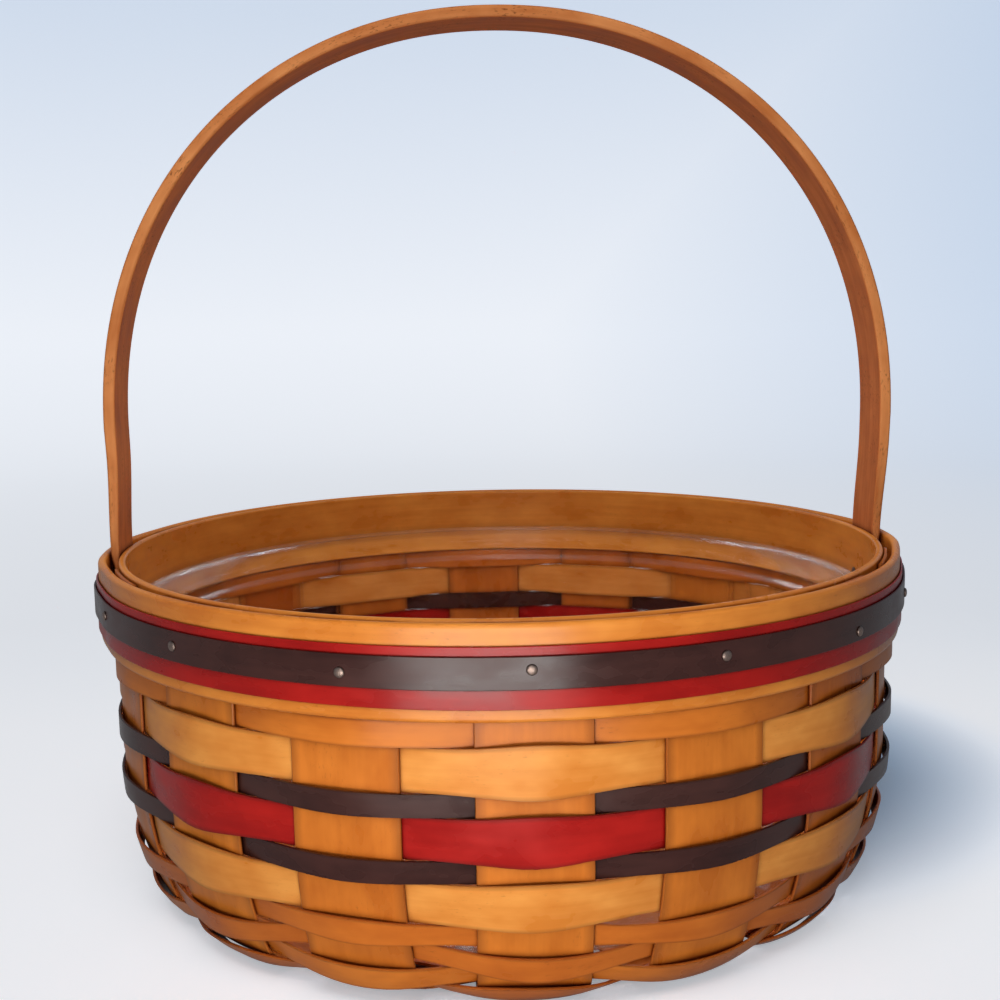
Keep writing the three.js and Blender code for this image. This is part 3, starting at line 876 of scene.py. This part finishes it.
def clear_plastic(name, rgb, cloud, roughness):
    """Clear plastic that lets the lamps through to what is behind it, cloudier where it was moulded round."""
    nodes = Nodes(name)
    nodes.put(nodes.surface, "Base Color", opaque(rgb))
    place = nodes.add("TexCoord").outputs["Object"]
    rub = nodes.add("TexNoise", {"Vector": place, "Scale": 90.0, "Detail": 2.0}).outputs[0]
    nodes.put(nodes.surface, "Roughness", nodes.spread(rub, 0.4, 0.7, roughness, roughness + 0.03))
    nodes.surface.inputs["IOR"].default_value = 1.3
    nodes.surface.inputs["Transmission Weight"].default_value = 1.0 - cloud
    path = nodes.maths("MAXIMUM", nodes.add("LightPath").outputs["Is Shadow Ray"], 0.5)
    through = nodes.add("BsdfTransparent", {"Color": opaque(rgb)}).outputs[0]
    inputs = {0: path, 1: nodes.surface.outputs[0], 2: through}
    mix = nodes.add("MixShader", inputs).outputs[0]
    nodes.put(nodes.output, "Surface", mix)
    return nodes.material


def make_woods(colours):
    """The woods and stains. A finish is its streaks, flecks, roughness and reflection level."""
    grain, dark = colours.grain, colours.dark_edge
    wood("Splint wood", colours.splint_pale, colours.splint_deep, grain)
    wood("Pale splint wood", colours.wide_pale, colours.wide_deep, grain)
    band, strap, stain = (0.3, 0.6, 0.28, 0.27), (0.3, 2.0, 0.55, 0.12), (0.25, 0.4, 0.25)
    wood("Band wood", colours.band_pale, colours.band_deep, grain, *band)
    wood("Handle wood", colours.handle_pale, colours.handle_deep, grain, *strap)
    wood("Red stain", colours.red_pale, colours.red_deep, dark, *stain, level=0.2)
    wood("Dark stain", colours.dark_pale, colours.dark_deep, dark, *stain, level=0.3)


def finish(slot):
    """The material of a slot, made the first time it is asked for."""
    names = {
        "splint": "Splint wood",
        "splint_pale": "Pale splint wood",
        "band": "Band wood",
        "handle": "Handle wood",
        "red_stain": "Red stain",
        "dark_stain": "Dark stain",
    }
    if names[slot] not in bpy.data.materials:
        make_woods(bpy.context.scene.basket_colours)
    return bpy.data.materials[names[slot]]


# Operators


class BASKET_OT_splints(Operator):
    """Make the long splints that form the uprights"""

    bl_idname = "basket.splints"
    bl_label = "Long splints"

    def execute(self, context):
        draw = random.Random(11)
        wall = context.scene.basket_wall
        for number in range(SPLINTS):
            piece = long_splint(wall, number, finish("splint"), draw)
            dress(piece, f"upright_splint_{number + 1}")
        return {"FINISHED"}


class BASKET_OT_weaving(Operator):
    """Make the rows of weaving round the wall and under the base"""

    bl_idname = "basket.weaving"
    bl_label = "Weaving"

    def execute(self, context):
        draw = random.Random(23)
        scene = context.scene
        wall, weave = scene.basket_wall, scene.basket_weave
        lay_rows(wall, weave, ROWS, scene.basket_rim.band_height, draw)
        lay_rows(wall, weave, BASE_ROWS, corner_end(wall), draw)
        return {"FINISHED"}


class BASKET_OT_rim(Operator):
    """Make the inner and outer bands and the two strips over them"""

    bl_idname = "basket.rim"
    bl_label = "Rim bands"

    def execute(self, context):
        rim = context.scene.basket_rim
        red_inside = rim.outer_inside + rim.outer_thick + rim.layer_gap
        dark_inside = red_inside + rim.trim_thick + rim.layer_gap
        inner_inside = rim.inner_outside - rim.inner_thick
        full, strip, front, back = rim.band_height, rim.trim_thick, -math.pi / 2, math.pi / 2
        red_top, red_width = rim.red_top, rim.red_width
        dark_top, dark_width = rim.dark_top, rim.dark_width
        # Node, radius, thickness, top, height, rounding, bulge, angle of the seam, finish and tone
        rings = (
            ("inner_band", inner_inside, rim.inner_thick, 0.0, full, 0.0009, False, front, "band", 1.0),
            ("outer_band", rim.outer_inside, rim.outer_thick, 0.0, full, 0.0013, True, back, "band", 0.9),
            ("red_trim", red_inside, strip, red_top, red_width, 0.0002, True, back, "red_stain", 0.6),
            ("dark_trim", dark_inside, strip, dark_top, dark_width, 0.0002, True, back, "dark_stain", 0.5),
        )
        for node, inside, thick, top, height, rounding, bulges, seam, slot, tone in rings:
            name = "bent_" + node
            material = finish(slot)
            piece = band_ring(name, rim, inside, thick, top, height, rounding, bulges, seam, material, tone)
            dress(piece, node)
        return {"FINISHED"}


class BASKET_OT_handle(Operator):
    """Make the bent strap handle"""

    bl_idname = "basket.handle"
    bl_label = "Handle"

    def execute(self, context):
        scene = context.scene
        piece = handle_strap(scene.basket_rim, scene.basket_handle, finish("handle"))
        dress(piece, "handle")
        return {"FINISHED"}


class BASKET_OT_nails(Operator):
    """Make the rim nails and the tacks in the handle's ends"""

    bl_idname = "basket.nails"
    bl_label = "Nails and tacks"

    def execute(self, context):
        rim = context.scene.basket_rim
        metal = nail_metal(context.scene.basket_colours.nail)
        face = rim.outer_inside + rim.outer_thick + 2 * (rim.layer_gap + rim.trim_thick)
        tip = rim.inner_outside - rim.inner_thick + NAIL_SHORT
        for i in range(UPRIGHTS):
            node = f"rim_nail_{i + 1:02d}"
            low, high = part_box(node)
            middle = (low + high) / 2
            angle = math.atan2(middle.y, middle.x)
            seat = face + bulge(rim, angle) + HEAD_ROOM
            spot = polar(seat, angle, middle.z)
            piece = nail(f"nail_{i + 1:02d}", rim, spot, polar(1, angle, 0), seat - tip, metal)
            dress(piece, node)
        for i, angle in enumerate((0.0, math.pi)):
            seat = rim.inner_outside - rim.inner_thick - HEAD_ROOM
            spot = polar(seat, angle, TACK_HEIGHT)
            piece = nail(f"tack_{i + 1}", rim, spot, -polar(1, angle, 0), TACK_LENGTH, metal)
            dress(piece, f"handle_tack_{i + 1}")
        return {"FINISHED"}


class BASKET_OT_liner(Operator):
    """Make the clear liner"""

    bl_idname = "basket.liner"
    bl_label = "Clear liner"

    def execute(self, context):
        scene = context.scene
        tint = scene.basket_colours.liner
        clear = clear_plastic("Clear plastic", tint, 0.0, 0.02)
        edge = clear_plastic("Moulded edge", tint, 0.04, 0.12)
        piece = liner_shell(scene.basket_liner, clear, edge)
        dress(piece, "liner", "liner")
        return {"FINISHED"}


class BASKET_OT_stage(Operator):
    """Make the floor, the backdrop, the lamps and the camera"""

    bl_idname = "basket.stage"
    bl_label = "Stage"

    def execute(self, context):
        scene = context.scene
        scene.view_settings.view_transform = "Standard"
        make_sweep_of_paper(scene.basket_colours.floor)
        make_lamps(scene)
        make_camera(scene)
        return {"FINISHED"}


def make_sweep_of_paper(rgb):
    """A pale round floor that curves up into a wall all round the basket, with a painted shadow beside it."""
    profile = [(0.0, 0.0), (PAPER_FLOOR, 0.0)]
    for i in range(1, PAPER_STEPS + 1):
        angle = i / PAPER_STEPS * math.pi / 2
        reach = PAPER_FLOOR + PAPER_BEND * math.sin(angle)
        profile.append((reach, PAPER_BEND - PAPER_BEND * math.cos(angle)))
    profile.append((PAPER_FLOOR + PAPER_BEND, PAPER_TOP))
    nodes = Nodes("Paper")
    path = nodes.add("LightPath").outputs
    mirrored = nodes.maths("MULTIPLY", path["Is Glossy Ray"], PAPER_REFLECTED)
    seen = nodes.maths("MAXIMUM", path["Is Camera Ray"], mirrored)
    seen = nodes.maths("MAXIMUM", seen, path["Is Transmission Ray"])
    place = nodes.add("TexCoord").outputs["Object"]
    across, depth, height = nodes.add("SeparateXYZ", {0: place}).outputs
    shaded = nodes.add("VectorMath", {0: place, 1: SHADE_PLACE}, operation="DISTANCE").outputs["Value"]
    shade = nodes.spread(shaded, 0.12, 0.19, 1.0, 0.0)
    rightward = nodes.spread(across, 0.2, 1.1, 0.2, 0.9)
    side = nodes.maths("MULTIPLY", rightward, nodes.spread(depth, 0.0, 0.3, 0.1, 1.0))
    cool = nodes.maths("MAXIMUM", side, nodes.spread(height, 0.1, 0.8, 0.12, 0.7))
    cool = nodes.maths("MAXIMUM", cool, shade)
    lit = nodes.blend(shade, opaque(rgb), SHADE_TINT)
    nodes.put(nodes.surface, "Base Color", nodes.blend(seen, opaque([c * 0.3 for c in rgb]), lit))
    nodes.surface.inputs["Roughness"].default_value = 0.9
    nodes.surface.inputs["Specular IOR Level"].default_value = 0.1
    # Painted shadow: the paper's glow fades under the basket and round the shade's middle
    near = nodes.add("VectorMath", {0: place}, operation="LENGTH").outputs["Value"]
    under = nodes.spread(near, 0.1, 0.13, 0.1, 0.58)
    glow = nodes.maths("MINIMUM", under, nodes.spread(shaded, 0.11, 0.17, 0.17, 0.58))
    glow = nodes.maths("ADD", glow, nodes.spread(near, 0.5, 1.9, 0.0, 0.27))
    nodes.put(nodes.surface, "Emission Color", nodes.blend(cool, PALE_GLOW, COOL_GLOW))
    nodes.put(nodes.surface, "Emission Strength", nodes.maths("MULTIPLY", glow, seen))
    paper = turned("paper_sweep", profile, nodes.material, PAPER_SIDES)


def lamp(scene, name, place, target, size, watts, rgb):
    """A soft lamp that faces a target."""
    data = bpy.data.lights.new(name, "AREA")
    data.shape = "RECTANGLE"
    data.size, data.size_y = size
    data.energy = watts
    data.color = rgb
    made = bpy.data.objects.new(name, data)
    made.location = place
    made.rotation_euler = (Vector(target) - Vector(place)).to_track_quat("-Z", "Y").to_euler()
    made.visible_camera = False
    scene.collection.objects.link(made)
    return made


def lit_by(made, pieces):
    """Lets a lamp light only the given pieces."""
    group = bpy.data.collections.new("Lit by " + made.name)
    for piece in pieces:
        group.objects.link(piece)
    made.light_linking.receiver_collection = group


def make_lamps(scene):
    """Lamps in front, behind and over the basket, and a pale surround."""
    unlit = set(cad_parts) | {"paper_sweep"}
    basket = [piece for piece in scene.objects if piece.type == "MESH" and piece.name not in unlit]
    groups = {"basket": basket, "wooden": [piece for piece in basket if piece.name != "clear_liner"]}
    for name, place, target, size, watts, rgb, lights, shows in LAMPS:
        made = lamp(scene, name, place, target, size, watts, rgb)
        made.visible_glossy = shows
        if lights in groups:
            lit_by(made, groups[lights])
    world = bpy.data.worlds.new("Pale surround")
    world.use_nodes = True
    background = world.node_tree.nodes["Background"]
    background.inputs["Color"].default_value = WORLD_COLOUR
    background.inputs["Strength"].default_value = WORLD_STRENGTH
    scene.world = world


def make_camera(scene):
    """The camera, in front of the basket and a little above its rim."""
    data = bpy.data.cameras.new("front_camera")
    data.sensor_fit = "HORIZONTAL"
    data.sensor_width = 36.0
    data.lens = LENS
    camera = bpy.data.objects.new("front_camera", data)
    ahead = Vector(CAMERA_AHEAD).normalized()
    level = ahead.cross(Vector((0, 0, 1))).normalized()
    rise = level.cross(ahead)
    right = level * math.cos(CAMERA_ROLL) + rise * math.sin(CAMERA_ROLL)
    up = right.cross(ahead)
    turn = Matrix((right, up, -ahead)).transposed()
    camera.matrix_world = Matrix.Translation(CAMERA_PLACE) @ turn.to_4x4()
    scene.collection.objects.link(camera)
    scene.camera = camera


class BASKET_PT_panel(Panel):
    """The basket's parts"""

    bl_label = "Basket"
    bl_space_type = "VIEW_3D"
    bl_region_type = "UI"
    bl_category = "Basket"

    def draw(self, context):
        for operator in OPERATORS:
            self.layout.operator(operator.bl_idname)
        for name in SETTINGS:
            box = self.layout.box()
            settings = getattr(context.scene, name)
            for key in settings.bl_rna.properties.keys():
                if key not in ("rna_type", "name"):
                    box.prop(settings, key)


OPERATORS = (
    BASKET_OT_splints,
    BASKET_OT_weaving,
    BASKET_OT_rim,
    BASKET_OT_handle,
    BASKET_OT_nails,
    BASKET_OT_liner,
    BASKET_OT_stage,
)
SETTINGS = {
    "basket_wall": BasketWallSizes,
    "basket_weave": BasketWeaveSizes,
    "basket_rim": BasketRimSizes,
    "basket_handle": BasketHandleSizes,
    "basket_liner": BasketLinerSizes,
    "basket_colours": BasketColours,
}


def register():
    """Registers the settings, the operators and the panel."""
    for name, group in SETTINGS.items():
        bpy.utils.register_class(group)
        setattr(bpy.types.Scene, name, PointerProperty(type=group))
    for operator in OPERATORS:
        bpy.utils.register_class(operator)
    bpy.utils.register_class(BASKET_PT_panel)


def unregister():
    """Takes the panel, the operators and the settings away again."""
    bpy.utils.unregister_class(BASKET_PT_panel)
    for operator in reversed(OPERATORS):
        bpy.utils.unregister_class(operator)
    for name, group in reversed(SETTINGS.items()):
        delattr(bpy.types.Scene, name)
        bpy.utils.unregister_class(group)


def main():
    """Makes the whole basket and its stage."""
    register()
    bpy.ops.basket.splints()
    bpy.ops.basket.weaving()
    bpy.ops.basket.rim()
    bpy.ops.basket.handle()
    bpy.ops.basket.nails()
    bpy.ops.basket.liner()
    bpy.ops.basket.stage()


if __name__ == "__main__":
    main()
